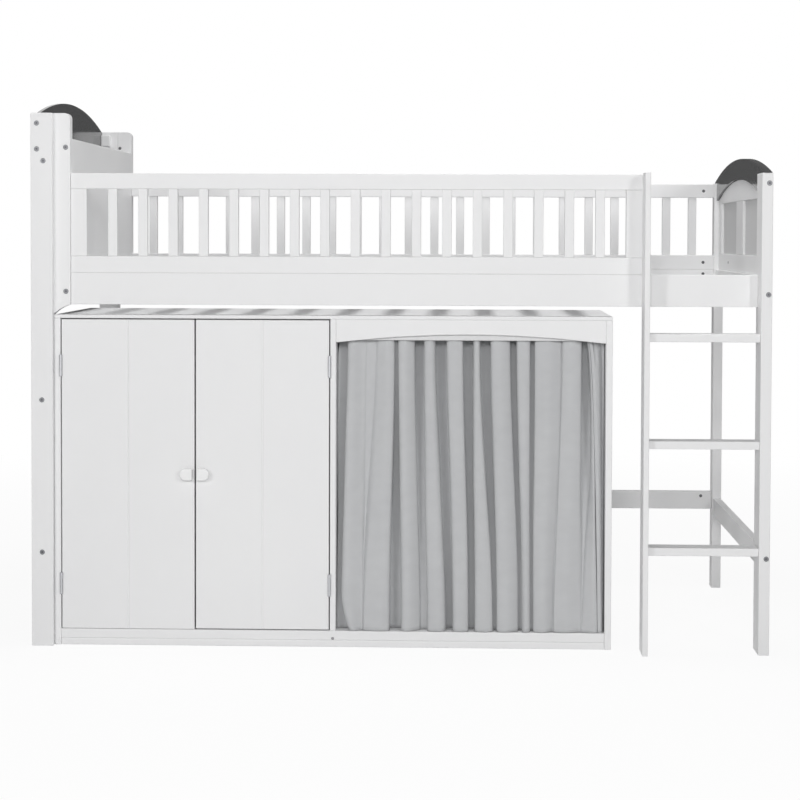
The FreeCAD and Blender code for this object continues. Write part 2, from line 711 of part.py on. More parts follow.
def fold_wire(steps, end_x, y_mid, depth, turn, z):
    front = fold_points(fold_crests(steps, end_x), y_mid, depth, turn)
    back = shifted(front, y_mid, end_x)

    def at(point):
        return V(curtain_x0 + point[0], point[1], z)

    def run(spans, y):
        edges = []
        last = (0.0, y)
        for a, b, c in spans:
            edges.append(line(at(last), at(a)))
            edges.append(arc(at(a), at(b), at(c)))
            last = c
        edges.append(line(at(last), at((end_x, y))))
        return edges

    y_back = y_mid + cloth_thickness
    edges = run(front, y_mid)
    edges.append(line(at((end_x, y_mid)), at((end_x, y_back))))
    edges += reversed(run(back, y_back))
    edges.append(line(at((0.0, y_back)), at((0.0, y_mid))))
    return Part.Wire(Part.__sortEdges__(edges))


top_wire = fold_wire(fold_steps_top, curtain_top_x1 - curtain_x0, rod_y - cloth_thickness / 2.0,
                     fold_top_depth, fold_top_round, sheet_top)
hem_wire = fold_wire(fold_steps_hem, curtain_x1 - curtain_x0, hem_y - cloth_thickness / 2.0,
                     fold_hem_depth, fold_hem_round, sheet_bottom)
sheet = Part.makeLoft([top_wire, hem_wire], True, True)
pocket = rod(V(curtain_x0, rod_y, rod_z), V(curtain_top_x1, rod_y, rod_z), pocket_radius)
rod_way = rod(V(curtain_x0, rod_y, rod_z), V(lead_x1, rod_y, rod_z), rod_radius + rod_play)
save("curtain", [sheet.fuse(pocket.cut(rod_way))])

# Leading hem: it slides on the rod and carries the curtain's free edge.
half = cloth_thickness / 2.0


def lead_edge(x0, x1, y, z):
    return Part.makePolygon([V(x0, y - half, z), V(x1, y - half, z), V(x1, y + half, z), V(x0, y + half, z),
                             V(x0, y - half, z)])


lead_top = lead_edge(lead_top_x0, lead_top_x1, rod_y, sheet_top)
lead_foot = lead_edge(lead_x0, lead_x1, hem_y, sheet_bottom)
strip = Part.makeLoft([lead_top, lead_foot], True, True)
ring = rod(V(lead_top_x0, rod_y, rod_z), V(lead_top_x1, rod_y, rod_z), pocket_radius).cut(rod_way)
save("curtain_lead_hem", [strip.fuse(ring)])
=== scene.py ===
# %% [markdown]
# # A white loft bed with a cabinet and a curtain
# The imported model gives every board, bolt and hinge in its true place, in metres.
# This script dresses it: it eases the boards' edges, paints them, hangs the curtain
# and sets up a white studio. It begins by loading the model as a fixed frame.

# %% Load the frame
import json
import math
import bpy
import bmesh
from mathutils import Matrix, Vector, noise


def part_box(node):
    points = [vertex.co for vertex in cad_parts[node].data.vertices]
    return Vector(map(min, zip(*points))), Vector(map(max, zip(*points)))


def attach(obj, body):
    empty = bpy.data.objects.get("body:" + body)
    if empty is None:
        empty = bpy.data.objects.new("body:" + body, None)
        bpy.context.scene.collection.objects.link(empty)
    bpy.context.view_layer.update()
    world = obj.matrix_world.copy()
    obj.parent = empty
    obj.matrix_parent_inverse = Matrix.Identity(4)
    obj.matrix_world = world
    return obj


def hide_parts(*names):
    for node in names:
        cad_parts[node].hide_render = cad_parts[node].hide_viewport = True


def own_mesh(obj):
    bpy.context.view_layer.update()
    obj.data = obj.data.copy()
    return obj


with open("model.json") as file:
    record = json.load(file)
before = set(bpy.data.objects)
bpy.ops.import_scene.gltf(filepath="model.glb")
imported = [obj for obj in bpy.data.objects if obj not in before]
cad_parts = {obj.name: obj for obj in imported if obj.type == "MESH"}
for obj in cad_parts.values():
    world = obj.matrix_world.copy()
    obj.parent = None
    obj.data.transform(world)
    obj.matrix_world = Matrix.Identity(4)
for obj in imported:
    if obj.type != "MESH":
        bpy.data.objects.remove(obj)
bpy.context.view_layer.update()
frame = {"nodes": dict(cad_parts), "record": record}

# %% [markdown]
# ## Colours and nodes
# Colours are written as they look on a screen, in sRGB hex, and Blender works in linear
# light, so one function converts them. Another one adds a shader node, sets its options and
# fills its sockets, either with a value or with a link. A Mix node has sockets for each kind
# of value; those for colours have no names of their own, so they are named here by number.

# %% Colour and node helpers
colour_a, colour_b, colour_out = 6, 7, 2


def linear(code):
    parts = [int(code[i:i + 2], 16) / 255 for i in (1, 3, 5)]
    opaque = [1.0]
    return [c / 12.92 if c <= 0.04045 else ((c + 0.055) / 1.055) ** 2.4 for c in parts] + opaque


def add(tree, kind, sockets, **options):
    made = tree.nodes.new(kind)
    for name, value in options.items():
        setattr(made, name, value)
    for name, value in sockets.items():
        if isinstance(value, bpy.types.NodeSocket):
            tree.links.new(value, made.inputs[name])
        else:
            made.inputs[name].default_value = value
    return made.outputs


def new_material(name):
    material = bpy.data.materials.new(name)
    material.use_nodes = True
    material.node_tree.nodes.clear()
    return material, material.node_tree


def surface(tree, shader):
    add(tree, "ShaderNodeOutputMaterial", {"Surface": shader})


print("white is", [round(c, 3) for c in linear("#ffffff")])

# %% [markdown]
# ## Satin white paint on wood
# The boards are sprayed with white satin paint. The eye sees an almost even white, a soft
# gloss, a very fine stipple and, faintly, the long grain of the wood beneath. The grain runs
# along each board, so there are three versions of the finish, one for each direction. The
# recessed panels of the foot end and the batten behind the valance get a greyer white, which
# is painted shade for the shade in their recesses.

# %% Painted wood
def satin_white(name, along, tone="#f0f0f0", shade="#ebebec"):
    material, tree = new_material(name)
    place = add(tree, "ShaderNodeTexCoord", {})["Object"]
    grain_mm, reach_mm, stipple_mm, cloud_mm = 5.0, 160.0, 2.4, 300.0
    scale = [1000 / grain_mm] * 3
    scale["xyz".index(along)] = 1000 / reach_mm
    stretched = add(tree, "ShaderNodeMapping", {"Vector": place, "Scale": scale})["Vector"]
    grain = add(tree, "ShaderNodeTexNoise",
                {"Vector": stretched, "Scale": 1.0, "Detail": 5.0, "Roughness": 0.6})["Fac"]
    stipple = add(tree, "ShaderNodeTexNoise",
                  {"Vector": place, "Scale": 1000 / stipple_mm, "Detail": 2.0})["Fac"]
    cloud = add(tree, "ShaderNodeTexNoise",
                {"Vector": place, "Scale": 1000 / cloud_mm, "Detail": 3.0})["Fac"]
    colour = add(tree, "ShaderNodeMix",
                 {"Factor": cloud, colour_a: linear(shade), colour_b: linear(tone)},
                 data_type="RGBA")[colour_out]
    rough = add(tree, "ShaderNodeMapRange", {"Value": cloud, "To Min": 0.40, "To Max": 0.52})["Result"]
    fine = add(tree, "ShaderNodeBump", {"Height": stipple, "Strength": 0.06, "Distance": 0.0004})["Normal"]
    relief = add(tree, "ShaderNodeBump",
                 {"Height": grain, "Strength": 0.08, "Distance": 0.0005, "Normal": fine})["Normal"]
    shader = add(tree, "ShaderNodeBsdfPrincipled",
                 {"Base Color": colour, "Roughness": rough, "Normal": relief, "IOR": 1.5})["BSDF"]
    surface(tree, shader)
    return material


paint = {axis: satin_white("satin_white_paint_grain_" + axis, axis) for axis in "xyz"}
# Painted shade: the recessed foot panels and the batten behind the valance get greyer whites for the shade in
# their recesses.
panel_painted_shade = satin_white("satin_white_painted_shade_panel", "y", "#d3d3d3", "#cdcdce")
batten_painted_shade = satin_white("satin_white_painted_shade_batten", "x", "#dadada", "#d5d5d6")
print("painted finishes:", [m.name for m in (*paint.values(), panel_painted_shade, batten_painted_shade)])

# %% [markdown]
# ## Dark gloss lacquer
# The arched end panels are boards lacquered in a deep neutral grey and polished, so they
# mirror the posts beside them. A slow ripple keeps the mirror from being too perfect.

# %% Lacquer
def lacquer():
    material, tree = new_material("dark_grey_gloss_lacquer")
    place = add(tree, "ShaderNodeTexCoord", {})["Object"]
    ripple_mm = 45.0
    ripple = add(tree, "ShaderNodeTexNoise",
                 {"Vector": place, "Scale": 1000 / ripple_mm, "Detail": 2.0})["Fac"]
    colour = add(tree, "ShaderNodeMix",
                 {"Factor": ripple, colour_a: linear("#464647"), colour_b: linear("#4c4c4d")},
                 data_type="RGBA")[colour_out]
    relief = add(tree, "ShaderNodeBump", {"Height": ripple, "Strength": 0.03, "Distance": 0.0004})["Normal"]
    shader = add(tree, "ShaderNodeBsdfPrincipled",
                 {"Base Color": colour, "Roughness": 0.12, "Normal": relief, "IOR": 1.5})["BSDF"]
    surface(tree, shader)
    return material


gloss_panel = lacquer()
print("gloss finish:", gloss_panel.name)

# %% [markdown]
# ## Plated steel and plastic
# The bolts and hinges are zinc-plated steel, with the slightly cloudy grain of the plating. The
# barrel nuts and the floors of the bolts' sockets take a darker steel, which is painted shade
# for the recesses they sit in. The pulls, the screw caps and the sockets of the curtain rod
# are moulded plastic, white or grey, with a fine spark-eroded texture from the mould.

# %% Steel and plastic
def steel(name, dark, light):
    material, tree = new_material(name)
    place = add(tree, "ShaderNodeTexCoord", {})["Object"]
    spangle_mm = 3.0
    spangle = add(tree, "ShaderNodeTexNoise",
                  {"Vector": place, "Scale": 1000 / spangle_mm, "Detail": 3.0})["Fac"]
    colour = add(tree, "ShaderNodeMix",
                 {"Factor": spangle, colour_a: linear(dark), colour_b: linear(light)},
                 data_type="RGBA")[colour_out]
    rough = add(tree, "ShaderNodeMapRange", {"Value": spangle, "To Min": 0.45, "To Max": 0.60})["Result"]
    shader = add(tree, "ShaderNodeBsdfPrincipled",
                 {"Base Color": colour, "Roughness": rough, "Metallic": 1.0})["BSDF"]
    surface(tree, shader)
    return material


def moulded(name, tone, low, high):
    material, tree = new_material(name)
    place = add(tree, "ShaderNodeTexCoord", {})["Object"]
    spark_mm = 1.6
    spark = add(tree, "ShaderNodeTexNoise", {"Vector": place, "Scale": 1000 / spark_mm, "Detail": 2.0})["Fac"]
    rough = add(tree, "ShaderNodeMapRange", {"Value": spark, "To Min": low, "To Max": high})["Result"]
    relief = add(tree, "ShaderNodeBump", {"Height": spark, "Strength": 0.05, "Distance": 0.0002})["Normal"]
    shader = add(tree, "ShaderNodeBsdfPrincipled",
                 {"Base Color": linear(tone), "Roughness": rough, "Normal": relief, "IOR": 1.49})["BSDF"]
    surface(tree, shader)
    return material


plated = steel("zinc_plated_steel", "#a8a9ac", "#bcbdc0")
bolt_steel = steel("zinc_plated_bolt_steel", "#77787b", "#858689")
# Painted shade: this darker steel goes on the barrel nuts and the bolts' socket floors, for the shade in
# their recesses.
recess_shade_steel = steel("steel_painted_recess_shade", "#5a5a5c", "#666668")
cap_plastic = moulded("white_abs_matt", "#ececec", 0.45, 0.6)
plug_plastic = moulded("grey_abs_matt", "#9c9c9e", 0.45, 0.6)
pull_plastic = moulded("white_abs_semi_gloss", "#f4f4f4", 0.2, 0.3)
print("steels:", [m.name for m in (plated, bolt_steel, recess_shade_steel)])
print("plastics:", [m.name for m in (cap_plastic, plug_plastic, pull_plastic)])

# %% [markdown]
# ## Eased edges
# A painted board never has a knife edge: its corners are sanded over before it is sprayed,
# and that thin round catches the light and draws the joints. Each board is copied from the
# frame, its loose triangles are merged, and its long straight edges are bevelled. Short edges
# belong to drilled holes and stay sharp. The copy then stands for the board.

# %% Copy a node and finish a piece
bodies = frame["record"]["behaviour"]["bodies"]
body_of_node = {node: body for body, nodes in bodies.items() for node in nodes}
slot_of_node = {part["node"]: part["material_slot"] for part in frame["record"]["subparts"]}
merge_reach = 0.00002


def merged_copy(node):
    bm = bmesh.new()
    bm.from_mesh(frame["nodes"][node].data)
    bmesh.ops.remove_doubles(bm, verts=bm.verts, dist=merge_reach)
    return bm


def finish_piece(name, bm, material, body, slot):
    mesh = bpy.data.meshes.new(name)
    bm.to_mesh(mesh)
    bm.free()
    mesh.materials.append(material)
    piece = bpy.data.objects.new(name, mesh)
    bpy.context.scene.collection.objects.link(piece)
    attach(piece, body)
    return piece


print("nodes in the frame:", len(slot_of_node), "on bodies:", sorted(bodies))

# %% Ease the painted boards
edge_round, round_steps = 0.002, 3
shortest_eased, sharp_angle, flat_angle = 0.009, math.radians(35), math.radians(2)


def eased(node, material):
    bm = merged_copy(node)
    bmesh.ops.dissolve_limit(bm, angle_limit=flat_angle, verts=bm.verts, edges=bm.edges)
    sharp = [e for e in bm.edges if e.calc_length() > shortest_eased and e.calc_face_angle(0) > sharp_angle]
    bmesh.ops.bevel(bm, geom=sharp, offset=edge_round, affect="EDGES", segments=round_steps, profile=0.5,
                    material=-1, clamp_overlap=True)
    for face in bm.faces:
        face.smooth = False
    piece = finish_piece(node + "_painted", bm, material, body_of_node[node], slot_of_node[node])
    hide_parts(node)
    return piece


def long_axis(node):
    low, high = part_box(node)
    sides = [h - l for l, h in zip(low, high)]
    return "xyz"[sides.index(max(sides))]


grain_of = {"front_guard_balusters": "z", "back_guard_balusters": "z", "front_guard_stiles": "z",
            "footboard_stiles": "z", "bed_slats": "y", "ladder_rungs": "x", "head_end_rails": "y",
            "head_corner_blocks": "y"}
# The greyer whites here are painted shade for the recessed panels and the batten.
painted_shade_coats = {"footboard_panels": panel_painted_shade, "curtain_batten": batten_painted_shade}
painted = []
for node in sorted(slot_of_node):
    if slot_of_node[node] == "white_painted_wood":
        coat = painted_shade_coats.get(node, paint[grain_of.get(node, long_axis(node))])
        painted.append(eased(node, coat))
print("eased and painted boards:", len(painted), "faces:", sum(len(p.data.polygons) for p in painted))

# %% [markdown]
# ## Finishes on the other frame pieces
# The metal, plastic and lacquered pieces keep the shapes they have in the frame and only
# take their materials. The bolts and the screw caps are made afresh below.

# %% Dress the frame pieces
finish_of_slot = {"dark_gloss_panel": gloss_panel, "zinc_steel": plated, "white_plastic": cap_plastic,
                  "knob_plastic": pull_plastic}
# The barrel nuts take the darker steel as painted shade for their recesses.
finish_of_node = {"barrel_nuts": recess_shade_steel}
made_afresh = ("frame_bolts", "screw_caps")
dressed = []
for node, piece in frame["nodes"].items():
    if slot_of_node[node] in finish_of_slot and node not in made_afresh:
        piece.data.materials.clear()
        piece.data.materials.append(finish_of_node.get(node, finish_of_slot[slot_of_node[node]]))
        dressed.append(node)
print("dressed frame pieces:", sorted(dressed))

# %% [markdown]
# ## Screw caps
# Small plastic caps close the screw holes of the cabinet: a white one in its left side and grey
# ones elsewhere. They are copied from the frame as one piece, and each face gets its colour by
# its place.

# %% Caps
bm = merged_copy("screw_caps")
white_caps_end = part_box("cabinet_left_side")[1][0]
for face in bm.faces:
    face.material_index = int(face.calc_center_median().x < white_caps_end)
caps = finish_piece("caps_white_and_grey", bm, plug_plastic, body_of_node["screw_caps"], "white_plastic")
caps.data.materials.append(cap_plastic)
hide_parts("screw_caps")
print("cap faces:", len(caps.data.polygons), "white ones:", sum(f.material_index for f in caps.data.polygons))

# %% [markdown]
# ## Socket-headed bolts
# In the frame a bolt is a plain head on a plain shank. A real one has a six-sided socket for
# its key and a small round on the head's rim. Each bolt of the frame is one island of the mesh.
# Its long side gives the shank's direction, and the end with the wider points is the head.
# The new bolt is half an outline, spun round its axis. The socket's points are then pushed out
# from the circle to the hexagon, and the two open ends are filled. The socket's floor is given
# a darker steel, as painted shade.

# %% Find the bolts
def islands(bm):
    left = set(bm.verts)
    for seed in bm.verts:
        edge, found = [seed] if seed in left else [], []
        left.discard(seed)
        while edge:
            vert = edge.pop()
            found.append(vert.co.copy())
            near = {e.other_vert(vert) for e in vert.link_edges} & left
            left -= near
            edge += near
        if found:
            yield found


def bolt_place(points):
    low = Vector([min(p[i] for p in points) for i in range(3)])
    high = Vector([max(p[i] for p in points) for i in range(3)])
    size, middle = high - low, (low + high) / 2
    axis = max(range(3), key=lambda i: size[i])
    across = [i for i in range(3) if i != axis]
    widest = max(points, key=lambda p: sum((p[i] - middle[i]) ** 2 for i in across))
    outward = Vector((0.0, 0.0, 0.0))
    outward[axis] = 1.0 if widest[axis] > middle[axis] else -1.0
    turn = outward.to_track_quat("Z", "Y").to_matrix().to_4x4()
    return size[across[0]] / 2, size[axis], Matrix.Translation(middle + outward * size[axis] / 2) @ turn


source = merged_copy("frame_bolts")
places = [bolt_place(points) for points in islands(source)]
source.free()
print("bolts found:", len(places), "head radius", round(max(p[0] for p in places) * 1000, 1), "mm")

# %% Make the bolts
spin_steps, hexagon_turn = 24, math.radians(60)
shank_share, socket_share = 0.42, 0.40
head_height, rim_round, socket_depth = 0.004, 0.0006, 0.003


def socket_bolt(radius, length):
    bm = bmesh.new()
    shank, socket = shank_share * radius, socket_share * radius
    outline = [(shank, -length), (shank, -head_height), (radius, -head_height), (radius, -rim_round),
               (radius - rim_round, 0.0), (socket, 0.0), (socket, -socket_depth)]
    line = [bm.verts.new((r, 0.0, h)) for r, h in outline]
    edges = [bm.edges.new(pair) for pair in zip(line, line[1:])]
    bmesh.ops.spin(bm, geom=line + edges, cent=(0, 0, 0), axis=(0, 0, 1), angle=math.tau, steps=spin_steps,
                   use_merge=True)
    for vert in bm.verts:
        if vert.co.xy.length < (shank + socket) / 2:
            angle = math.atan2(vert.co.y, vert.co.x) % hexagon_turn - hexagon_turn / 2
            vert.co.xy /= math.cos(angle)
    rims = [e for e in bm.edges if e.is_boundary]
    for face in bmesh.ops.holes_fill(bm, edges=rims, sides=spin_steps)["faces"]:
        # The socket's floor takes the darker steel as painted shade.
        face.material_index = int(face.calc_center_median().z > -head_height)
    bmesh.ops.recalc_face_normals(bm, faces=bm.faces)
    return bm


bm = bmesh.new()
for radius, length, place in places:
    bolt = socket_bolt(radius, length)
    bmesh.ops.transform(bolt, matrix=place, verts=bolt.verts)
    mesh = bpy.data.meshes.new("one_bolt")
    bolt.to_mesh(mesh)
    bolt.free()
    bm.from_mesh(mesh)
    bpy.data.meshes.remove(mesh)
bolts = finish_piece("bolts_with_sockets", bm, bolt_steel, "frame", "zinc_steel")
bolts.data.materials.append(recess_shade_steel)
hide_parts("frame_bolts")
print("bolt faces:", len(bolts.data.polygons))

# %% [markdown]
# ## The curtain's folds
# The curtain is plain woven cloth, much wider than its bay, gathered on a rod. It falls in
# eleven folds: pale flat crests with deep shaded hollows between them. Each fold is given by
# the left and the right edge of its crest, at the rod and at the hem, in millimetres from the
# cloth's left side. Before each fold comes a hollow, with a depth at the rod and at the hem,
# from -1 at the crests to 1 at the deepest. Each crest has the place of its peak across it and
# the depth of its right shoulder. The last fold follows the free edge, which swings out from
# the rod to the hem. A height on the cloth is its drop, from 0 at the rod to 1 at the hem.

# %% Sizes of the folds
low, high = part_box("curtain")
rod_low, rod_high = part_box("curtain_rod")
rod_y = (rod_low[1] + rod_high[1]) / 2
hang_lower, hem_forward = 0.004, 0.025
cloth_left, cloth_top, cloth_hem = low[0], high[2] - hang_lower, low[2] - hang_lower
hem_y = rod_y - hem_forward
folds = [(24, 69, 8, 62), (110, 152, 72, 141), (164, 208, 175, 225), (236, 266, 248, 297),
         (298, 342, 318, 360), (372, 390, 379, 427), (420, 472, 440, 497), (492, 528, 510, 531),
         (543, 613, 541, 594), (620, 670, 598, 666)]
hollows = [(0.6, 1.4), (-0.3, 0.0), (1.0, 1.0), (1.0, 0.3), (1.0, 1.0), (1.0, 1.0), (1.0, 1.0),
           (1.0, 1.0), (1.0, 1.0), (1.0, 1.0), (1.0, -0.3)]
crests = [(0.35, -0.55), (0.6, -0.75), (0.4, -0.3), (0.6, -0.6), (0.45, -0.75), (0.5, -0.75),
          (0.45, -0.4), (0.5, -0.75), (0.5, -0.4), (0.45, -0.6), (0.7, -0.75)]
bay_low, bay_high = -6.0, 734.0
print("folds:", len(crests), "hollows:", len(hollows))

# %% [markdown]
# ## A line across the folds
# At any drop the cloth is one line from left to right. Its corners are the floors of the
# hollows, the walls and the crests, and a smooth curve runs through them. A narrow hollow can't
# be deep. A shallow hollow has slack walls that lean, and a deep one has steep walls that tuck
# under the crest.

# %% Trace the folds
full_hollow, rod_wrap = 20.0, 0.08
edge_at_rod, edge_swing, edge_curve = 679.0, 38.0, 0.33
last_width, last_spread, last_gap = 4.0, 36.0, 0.5
slack_most, slack_share = 9.0, 0.4
corner_most, tuck_share, turn_share = 2.0, 0.12, 0.1
lip, lip_slack, crest_slack, crest_limit = 0.5, 0.3, 0.6, 0.2
crest_rim, crest_peak, edge_level, floor_rise = -0.75, -1.0, -0.85, 0.05


def free_edge(drop):
    return edge_at_rod + edge_swing * drop ** edge_curve


def between(pair, drop):
    ease = drop * drop * (3 - 2 * drop)
    return pair[0] + (pair[1] - pair[0]) * ease


def path(drop):
    start = bay_low * min(1.0, drop / rod_wrap)
    edges = [(between((a, c), drop), between((b, d), drop)) for a, b, c, d in folds]
    edges.append((free_edge(drop) - last_width - last_spread * drop * drop, free_edge(drop) - last_gap))
    starts = [start] + [right for _, right in edges]
    levels = [between(pair, drop) for pair in hollows]
    widths = [left - before for before, (left, _) in zip(starts, edges)]
    floors = [(1 + level) * min(1.0, width / full_hollow) - 1 for level, width in zip(levels, widths)]
    soft = [max(0.0, min(1.0, 1 - 2 * level)) for level in levels]
    slack = [min(slack_most, slack_share * width) * k for width, k in zip(widths, soft)]
    corners = [(start, floors[0])]
    for i, (left, right) in enumerate(edges):
        width, (peak, shoulder) = right - left, crests[i]
        tuck, turn = min(corner_most, width * tuck_share), min(corner_most, width * turn_share)
        lean = min(crest_slack * slack[i], width * crest_limit)
        corners += [(left + tuck * (1 + floors[i]) / 2 - slack[i], floors[i]),
                    (left - lip - lip_slack * slack[i], (floors[i] + crest_rim) / 2),
                    (left + turn + lean, crest_rim), (left + width * peak, crest_peak)]
        if i + 1 == len(edges):
            break
        floor, loose = floors[i + 1], slack[i + 1]
        corners += [(right - turn - min(crest_slack * loose, width * crest_limit), shoulder),
                    (right + lip + lip_slack * loose, (shoulder + floor) / 2),
                    (right - tuck * (1 + floor) / 2 + loose, floor),
                    ((right + edges[i + 1][0]) / 2, floor + floor_rise)]
    corners.append((edges[-1][1], edge_level))
    return corners


def along(corners, share):
    spot = share * (len(corners) - 1)
    i = min(int(spot), len(corners) - 2)
    f = spot - i
    pts = [corners[max(i - 1, 0)], corners[i], corners[i + 1], corners[min(i + 2, len(corners) - 1)]]
    weights = (-0.5 * f + f * f - 0.5 * f ** 3, 1 - 2.5 * f * f + 1.5 * f ** 3,
               0.5 * f + 2 * f * f - 1.5 * f ** 3, -0.5 * f * f + 0.5 * f ** 3)
    return sum(w * p[0] for w, p in zip(weights, pts)), sum(w * p[1] for w, p in zip(weights, pts))


print("corners across the cloth:", len(path(0.5)))

# %% [markdown]
# ## Folding the cloth
# A grid is laid flat, with a UV map in metres, and its points are then carried into the folds.
# The hollows reach further back near the rod, where the cloth is gathered most. A slow sway and
# a fine ripple keep the folds from being straight, and the first fold's foot turns in.

# %% Fold the cloth
columns, rows, flat_width, flat_height = 374, 64, 1.50, 0.82
depth_at_rod, depth_gain, depth_flare, flare_power = 0.020, 0.004, 0.002, 5
rod_reach, reach_power = 1.0, 1.5
sway_depth, ripple_depth, drift_mm = 0.002, 0.0006, 3.0
foot_start, foot_turn, foot_edge, foot_reach = 0.86, 26.0, 8.0, 70.0


def fold_depth(drop):
    return depth_at_rod + depth_gain * drop + depth_flare * drop ** flare_power


def wave(share, drop, across, down, seed):
    return noise.noise(Vector((share * across, drop * down, seed)))


def hang(share, drop):
    x, fold = along(path(drop), share)
    depth = fold_depth(drop)
    if fold > 0:
        depth *= 1 + rod_reach * (1 - drop) ** reach_power
    middle = 4.0 * drop * (1 - drop)
    sway = sway_depth * wave(share, drop, across=14.0, down=3.0, seed=1.7) * middle
    ripple = ripple_depth * wave(share, drop, across=40.0, down=9.0, seed=5.3) * middle
    y = rod_y + (hem_y - rod_y) * drop + fold * depth + sway + ripple
    x += drift_mm * wave(share, drop, across=9.0, down=2.2, seed=9.1) * middle
    gathered = max(0.0, (drop - foot_start) / (1 - foot_start)) ** 2
    near_side = max(0.0, min(1.0, (x - bay_low) / foot_edge)) * max(0.0, 1 - x / foot_reach)
    x += foot_turn * gathered * near_side
    z = cloth_top + (cloth_hem - cloth_top) * drop
    return Vector((cloth_left + x / 1000, y, z))


def cloth_grid(across, down, width, point):
    bm = bmesh.new()
    uv = bm.loops.layers.uv.new("cloth")
    bmesh.ops.create_grid(bm, x_segments=across, y_segments=down, size=0.5)
    for face in bm.faces:
        face.smooth = True
        for loop in face.loops:
            loop[uv].uv = ((loop.vert.co.x + 0.5) * width, (loop.vert.co.y + 0.5) * flat_height)
    for vert in bm.verts:
        vert.co = point(vert.co.x + 0.5, 0.5 - vert.co.y)
    bmesh.ops.recalc_face_normals(bm, faces=bm.faces)
    return bm


bm = cloth_grid(columns, rows, flat_width, hang)
print("curtain area", round(sum(f.calc_area() for f in bm.faces), 3), "m2, points", len(bm.verts))

# %% [markdown]
# ## Woven cloth
# Plain-woven polyester cotton: matt, with a soft bloom at glancing angles. Warp and weft are
# two sets of fine waves along the cloth's own UV directions, which are in metres. Real threads
# are about half a millimetre apart, too fine to show, so they are drawn at three millimetres.

# %% Curtain material
def woven():
    material, tree = new_material("plain_woven_grey_cotton")
    lay = add(tree, "ShaderNodeUVMap", {}, uv_map="cloth")["UV"]
    thread_mm, slub_mm, fade_mm = 3.0, 30.0, 220.0
    warp, weft = [add(tree, "ShaderNodeTexWave",
                      {"Vector": lay, "Scale": 1000 / thread_mm / 2, "Distortion": 1.2},
                      bands_direction=direction)["Fac"] for direction in "XY"]
    weave = add(tree, "ShaderNodeMath", {0: warp, 1: weft}, operation="MULTIPLY")["Value"]
    slub = add(tree, "ShaderNodeTexNoise", {"Vector": lay, "Scale": 1000 / slub_mm, "Detail": 4.0})["Fac"]
    fade = add(tree, "ShaderNodeTexNoise", {"Vector": lay, "Scale": 1000 / fade_mm, "Detail": 2.0})["Fac"]
    base = add(tree, "ShaderNodeMix",
               {"Factor": fade, colour_a: linear("#c2c3c5"), colour_b: linear("#cacbcc")},
               data_type="RGBA")[colour_out]
    colour = add(tree, "ShaderNodeMix", {"Factor": 0.06, colour_a: base, colour_b: slub},
                 data_type="RGBA")[colour_out]
    tooth = add(tree, "ShaderNodeBump", {"Height": weave, "Strength": 0.12, "Distance": 0.0006})["Normal"]
    relief = add(tree, "ShaderNodeBump",
                 {"Height": slub, "Strength": 0.15, "Distance": 0.002, "Normal": tooth})["Normal"]
    shader = add(tree, "ShaderNodeBsdfPrincipled",
                 {"Base Color": colour, "Roughness": 0.9, "Normal": relief, "Specular IOR Level": 0.2,
                  "Sheen Weight": 0.1, "Sheen Roughness": 0.5})["BSDF"]
    surface(tree, shader)
    return material


cloth = woven()
print("curtain finish:", cloth.name)

# %% [markdown]
# ## Hanging the curtain
# The cloth is a sheet without thickness until a Solidify modifier gives it one. When the
# curtain is drawn, its leading edge slides along the rod.

# %% Hang the curtain
cloth_thickness, pressed_share = 0.001, 0.262


def thicken(piece, name, thickness):
    wall = piece.modifiers.new(name, "SOLIDIFY")
    wall.thickness = thickness
    wall.offset = 0.0


curtain = finish_piece("curtain_cloth", bm, cloth, "frame", "curtain_cloth")
thicken(curtain, "cloth_thickness", cloth_thickness)
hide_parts("curtain")
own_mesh(curtain)
print("curtain hung on the rod at y", round(rod_y, 4))

# %% [markdown]
# ## The curtain's leading hem
# The free edge of the cloth is turned over and sewn, and a narrow return goes back from it
# towards the side of the bay. It is the edge that a hand pulls, so it moves with the curtain's
# own body along the rod. The return starts under the rod.

# %% Leading hem
hem_columns, hem_flat, hem_thickness = 20, 0.05, 0.0016
hem_width, front_share, rod_clearance = 8.5, 0.4, 0.002
crinkle_mm, crinkle_waves, crinkle_seed = 2.5, 16.0, (0.4, 2.2)
return_curve, return_depth, return_rise = 0.6, 1.1, 1.5


def lead_point(across, drop):
    crinkle = crinkle_mm * noise.noise(Vector((drop * crinkle_waves, *crinkle_seed))) * (1 - drop)
    front = free_edge(drop) + last_gap + (hem_width + crinkle) * min(1.0, across / front_share)
    back = max(0.0, (across - front_share) / (1 - front_share))
    x = front + (bay_high - front) * back ** return_curve
    fold = edge_level + return_depth * min(1.0, back * return_rise)
    top = cloth_top if back == 0 else min(cloth_top, rod_low[2] - rod_clearance)
    y = rod_y + (hem_y - rod_y) * drop + fold * fold_depth(drop)
    return Vector((cloth_left + x / 1000, y, top + (cloth_hem - top) * drop))


bm = cloth_grid(hem_columns, rows, hem_flat, lead_point)
lead = finish_piece("curtain_hem", bm, cloth, "curtain_lead", "curtain_cloth")
thicken(lead, "hem_thickness", hem_thickness)
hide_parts("curtain_lead_hem")
print("leading hem is", hem_width, "mm wide")

# %% [markdown]
# ## Studio floor and card
# The bed stands on a plain white floor in front of nothing but white. The camera sees floor
# and surround as white, with a trace of the floor's own shading, so the shadow stays. A grey
# card behind the bed, seen only in reflections, keeps the dark panels dark, as in a studio.

# %% Floor and card
floor_half, shading_reach, shading_full, white_share = 40.0, 4.5, 0.7, 0.93
card_half, card_place = 2.4, (0.2, 5.5, 2.9)


def seen_white(tree):
    rays = add(tree, "ShaderNodeLightPath", {})
    mirrored = add(tree, "ShaderNodeMath", {0: rays["Is Glossy Ray"], 1: rays["Is Transmission Ray"]},
                   operation="ADD")["Value"]
    return add(tree, "ShaderNodeMath", {0: rays["Is Camera Ray"], 1: mirrored}, operation="ADD",
               use_clamp=True)["Value"]


